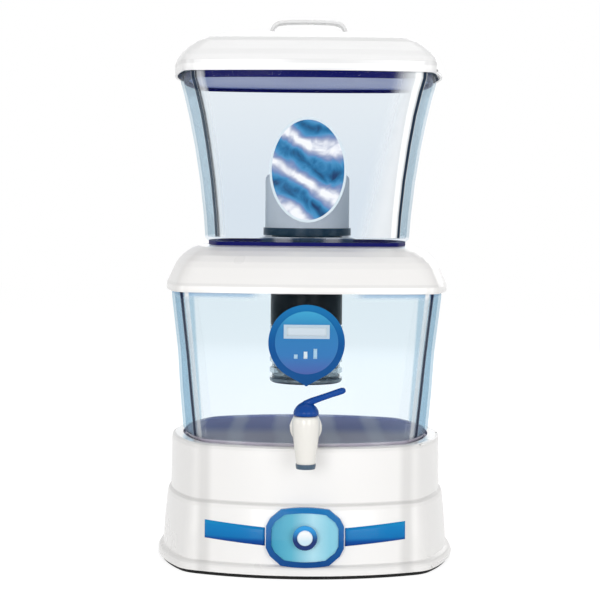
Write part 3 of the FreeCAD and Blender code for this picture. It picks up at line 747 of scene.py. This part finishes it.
def outline_loop(node, height):
    """The outermost cut of a CAD node at one height, as points in order."""
    bm = bmesh.new()
    bm.from_mesh(nodes[node].data)
    bm.transform(nodes[node].matrix_world)
    cut = bmesh.ops.bisect_plane(bm, geom=bm.verts[:] + bm.edges[:] + bm.faces[:],
                                 plane_co=(0, 0, height), plane_no=(0, 0, 1))["geom_cut"]
    edges = {e for e in cut if isinstance(e, bmesh.types.BMEdge)}
    start = max((v for v in cut if isinstance(v, bmesh.types.BMVert)), key=lambda v: v.co.x)
    points, vert = [], start
    while True:
        points.append(vert.co.copy())
        edge = next((e for e in vert.link_edges if e in edges), None)
        if edge is None:
            break
        edges.remove(edge)
        vert = edge.other_vert(vert)
        if vert == start:
            break
    bm.free()
    kept = [points[0]]
    for p in points[1:]:
        if (p - kept[-1]).length > LOOP_LEAST_STEP and (p - kept[0]).length > LOOP_LEAST_STEP:
            kept.append(p)
    return kept


def bead(name, node, height, radius, out, body):
    """A moulded bead that follows the outline of a CAD node."""
    loop = outline_loop(node, height)
    rings = []
    for i, p in enumerate(loop):
        way = (loop[(i + 1) % len(loop)] - loop[i - 1]).normalized()
        side = Vector((way.y, -way.x, 0))
        if side.dot(p) < 0:
            side = -side
        centre = p + side * out
        rings.append([centre + side * radius * math.cos(t) + Vector((0, 0, radius * math.sin(t)))
                      for t in turns(BEAD_SIDES)])
    bm = bmesh.new()
    skin(bm, rings, closed=True)
    return piece(name, bm, body, material_of(node))


def facing_skin(node):
    """Where a ray from the front meets a CAD node, as a function of x and z."""
    obj = nodes[node]
    tree = BVHTree.FromPolygons([obj.matrix_world @ v.co for v in obj.data.vertices],
                                [p.vertices for p in obj.data.polygons])

    def at(x, z):
        return tree.ray_cast(Vector((x, -1, z)), Vector((0, 1, 0)))[0].y
    return at


def inlay(name, node, ends, proud, body, material, across=28, up=6):
    """A thin band that follows the front of a CAD node between two ends of (x, lower edge, upper edge)."""
    at = facing_skin(node)
    (x0, low0, high0), (x1, low1, high1) = ends
    rings = []
    for i in range(across + 1):
        t = i / across
        x = x0 + (x1 - x0) * t
        low, high = low0 + (low1 - low0) * t, high0 + (high1 - high0) * t
        front, back = [], []
        for k in range(up + 1):
            z = low + (high - low) * k / up
            y = at(x, z)
            rim = INLAY_EDGE if k in (0, up) or i in (0, across) else 1.0
            front.append((x, y - proud * rim, z))
            back.append((x, y + INLAY_DEEP, z))
        rings.append(front + back[::-1])
    bm = bmesh.new()
    skin(bm, rings)
    return piece(name, bm, body, material)


def stripes():
    """Blue bands on the stand that droop a little towards the medallion."""
    for side, node in ((-1, "stripe_left"), (1, "stripe_right")):
        ends = [(side * x, low, high) for x, low, high in (STRIPE_OUTER, STRIPE_INNER)]
        obj = inlay(node + "_band", "base_shell", ends, STRIPE_PROUD, "base", material_of(node))
        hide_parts(node)


def badge_marks():
    """Plain marks on the round badge: three pale level bars and a paler band inside the window."""
    pale = moulded("mark_pale", (0.40, 0.62, 0.80), shade=0.9, **MARK_SETTINGS)
    white = moulded("mark_white", (0.72, 0.82, 0.88), shade=0.9, **MARK_SETTINGS)
    for i, (x, tall) in enumerate(LEVELS):
        ends = [(x + half, LEVEL_FOOT_Z, LEVEL_FOOT_Z + tall) for half in (-LEVEL_HALF, LEVEL_HALF)]
        inlay("badge_level_%d" % i, "badge_face", ends, LEVEL_PROUD, "lower_tank",
              white if i == 1 else pale, across=6, up=4)
    ends = [(half, *WINDOW_Z) for half in (-WINDOW_HALF, WINDOW_HALF)]
    window = moulded("window_pale", (0.66, 0.76, 0.84), shade=0.8, **MARK_SETTINGS)
    inlay("badge_window", "badge_bar", ends, WINDOW_PROUD, "lower_tank", window, across=16, up=4)


def tap():
    """Tap body with rounded barrel, drip lip, flange and a threaded shank through the tank wall."""
    bm = bmesh.new()
    revolve(bm, BARREL, BARREL_SIDES, closed=True)
    shank = list(SHANK_FRONT)
    for turn in range(THREAD_TURNS):
        shank += [(r, THREAD_START_MM + THREAD_PITCH_MM * turn + past) for r, past in THREAD]
    shank += SHANK_BACK
    skin(bm, [[(r * MM * math.cos(t), y * MM, (SHANK_Z_MM + r * math.sin(t)) * MM) for t in turns(SHANK_SIDES)]
              for r, y in shank])
    obj = piece("tap_shaped", bm, "lower_tank", material_of("tap_body"))
    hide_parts("tap_body")


def lever():
    """Tap lever: domed hub and a flattened arm that swells at its tip."""
    bm = bmesh.new()
    revolve(bm, HUB, HUB_SIDES)
    swept_bar(bm, ARM, TAP_Y_MM, ARM_SIDES, ARM_ROUNDNESS)
    obj = piece("lever_shaped", bm, "tap_lever", material_of("tap_lever"))
    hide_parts("tap_lever")


def handle():
    """Bow handle: a rounded band that rises from the lid on curved shoulders."""
    reach = BOW[-1][0]
    bow = [(-x, z) for x, z in BOW[:0:-1]] + list(BOW)
    way = [(x, z, BOW_HALF_WIDTH - BOW_NARROWING * (1 - abs(x) / reach), BOW_HALF_THICK) for x, z in bow]
    bm = bmesh.new()
    swept_bar(bm, way, 0, BOW_SIDES, BOW_ROUNDNESS)
    obj = piece("handle_shaped", bm, "upper_lid", material_of("upper_lid_handle"))
    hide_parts("upper_lid_handle")


def lid():
    """The lid's dome, softened at its shoulders."""
    source = nodes["upper_lid"]
    bm = bmesh.new()
    bm.from_mesh(source.data)
    bm.transform(source.matrix_world)
    for v in bm.verts:
        rise = v.co.z - DOME_Z
        if rise > 0:
            out = max(abs(v.co.x) / DOME_HALF[0], abs(v.co.y) / DOME_HALF[1])
            shoulder = min(max((out - SHOULDER_START) / SHOULDER_RUN, 0), 1)
            v.co.z = DOME_Z + rise * (DOME_RISE - SHOULDER_DROP * shoulder)
    for edge in bm.edges:
        edge.smooth = len(edge.link_faces) != 2 or edge.calc_face_angle() < math.radians(CREASE_DEG)
    obj = piece("lid_domed", bm, "upper_lid", material_of("upper_lid"))
    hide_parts("upper_lid")


def pebbles():
    """Rounded, uneven stones that fill the clear chamber in the CAD stones' space."""
    low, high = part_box("mineral_stones")
    rng = random.Random(STONE_SEED)
    reach = (high.x - low.x) / 2
    size = (high.z - low.z) / STONE_LAYERS * STONE_SIZE
    bm = bmesh.new()
    for layer in range(STONE_LAYERS):
        z = low.z + size + (high.z - low.z - 2 * size) * layer / (STONE_LAYERS - 1)
        for i in range(STONES_A_LAYER):
            angle = math.radians(360 / STONES_A_LAYER * i + LAYER_TURN_DEG * layer)
            r = (reach - size * 1.05) if i % 3 else reach * 0.45
            place = Vector((r * math.cos(angle), r * math.sin(angle), z))
            stretch = Vector([size * rng.uniform(0.82, 1.04) for _ in range(3)])
            turn = Matrix.Rotation(rng.uniform(0, 3), 4, "Z")
            made = bmesh.ops.create_icosphere(bm, subdivisions=3, radius=1.0)
            for v in made["verts"]:
                dent = 1 + 0.10 * math.sin(5 * v.co.x + layer) * math.cos(4 * v.co.y + i)
                v.co = place + turn @ Vector([v.co[k] * dent * stretch[k] for k in range(3)])
    obj = piece("pebbles", bm, "upper_tank", material_of("mineral_stones"))
    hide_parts("mineral_stones")


def seen_directly(tree):
    """1 for the rays that show the surroundings: from the camera, mirrored or through clear plastic."""
    path = tree.nodes.new("ShaderNodeLightPath")
    seen = path.outputs["Is Camera Ray"]
    for kind in ("Is Glossy Ray", "Is Transmission Ray"):
        either = tree.nodes.new("ShaderNodeMath")
        either.operation = "MAXIMUM"
        tree.links.new(seen, either.inputs[0])
        tree.links.new(path.outputs[kind], either.inputs[1])
        seen = either.outputs[0]
    return seen


def floor():
    """Plain pale floor that keeps the object's soft shadow."""
    mesh = bpy.data.meshes.new("floor")
    corners = [(x * FLOOR_HALF, y * FLOOR_HALF, 0) for x, y in ((-1, -1), (1, -1), (1, 1), (-1, 1))]
    mesh.from_pydata(corners, [], [(0, 1, 2, 3)])
    obj = bpy.data.objects.new("floor", mesh)
    bpy.context.scene.collection.objects.link(obj)
    n = Nodes("floor_white")
    n.colour(FLOOR_PALE)
    n.bsdf.inputs["Roughness"].default_value = 0.9
    n.bsdf.inputs["Specular IOR Level"].default_value = 0.0
    glow = n.new("Emission")
    glow.inputs["Strength"].default_value = FLOOR_GLOW
    n.surface(n.layered(n.both(seen_directly(n.tree), FLOOR_GLOW_SHARE), n.bsdf, glow))
    mesh.materials.append(n.material)


def world():
    """White where it is seen, softer where it lights."""
    studio = bpy.data.worlds.new("studio")
    studio.use_nodes = True
    bpy.context.scene.world = studio
    tree = studio.node_tree
    back = tree.nodes["Background"]
    level = tree.nodes.new("ShaderNodeMapRange")
    level.inputs["To Min"].default_value = SKY_LIGHTS
    level.inputs["To Max"].default_value = SKY_SEEN
    tree.links.new(seen_directly(tree), level.inputs["Value"])
    back.inputs["Color"].default_value = (1, 1, 1, 1)
    tree.links.new(level.outputs["Result"], back.inputs["Strength"])


def lamps():
    for name, place, size, power in LAMPS:
        data = bpy.data.lights.new(name, "AREA")
        data.shape = "SQUARE"
        data.size = size
        data.energy = power
        obj = bpy.data.objects.new(name, data)
        bpy.context.scene.collection.objects.link(obj)
        obj.location = place
        obj.rotation_euler = (Vector(LAMP_TARGET) - Vector(place)).to_track_quat("-Z", "Y").to_euler()


def camera():
    """The photograph's view, worked out from its horizon, its focal length and the object's axis in it."""
    data = bpy.data.cameras.new("photo_view")
    data.sensor_width = SENSOR
    data.lens = FOCAL_PX / IMAGE * SENSOR
    data.clip_end = CAMERA_SEES_TO
    obj = bpy.data.objects.new("photo_view", data)
    bpy.context.scene.collection.objects.link(obj)
    metres_a_pixel = CAMERA_DISTANCE / FOCAL_PX
    x = (IMAGE / 2 - AXIS_X) * metres_a_pixel
    pitch = math.atan((IMAGE / 2 - HORIZON_Y) / FOCAL_PX)
    turn = Matrix.Rotation(math.pi / 2 - pitch, 4, "X") @ Matrix.Rotation(math.radians(LEAN_DEG), 4, "Z")
    obj.matrix_world = Matrix.Translation((x, -CAMERA_DISTANCE, CAMERA_HEIGHT)) @ turn
    bpy.context.scene.camera = obj


finishes()
pebbles()
lever()
tap()
stripes()
badge_marks()
lid()
handle()
for settings in BEADS:
    bead(*settings)
floor()
world()
lamps()
camera()
bpy.context.scene.view_settings.view_transform = "Standard"
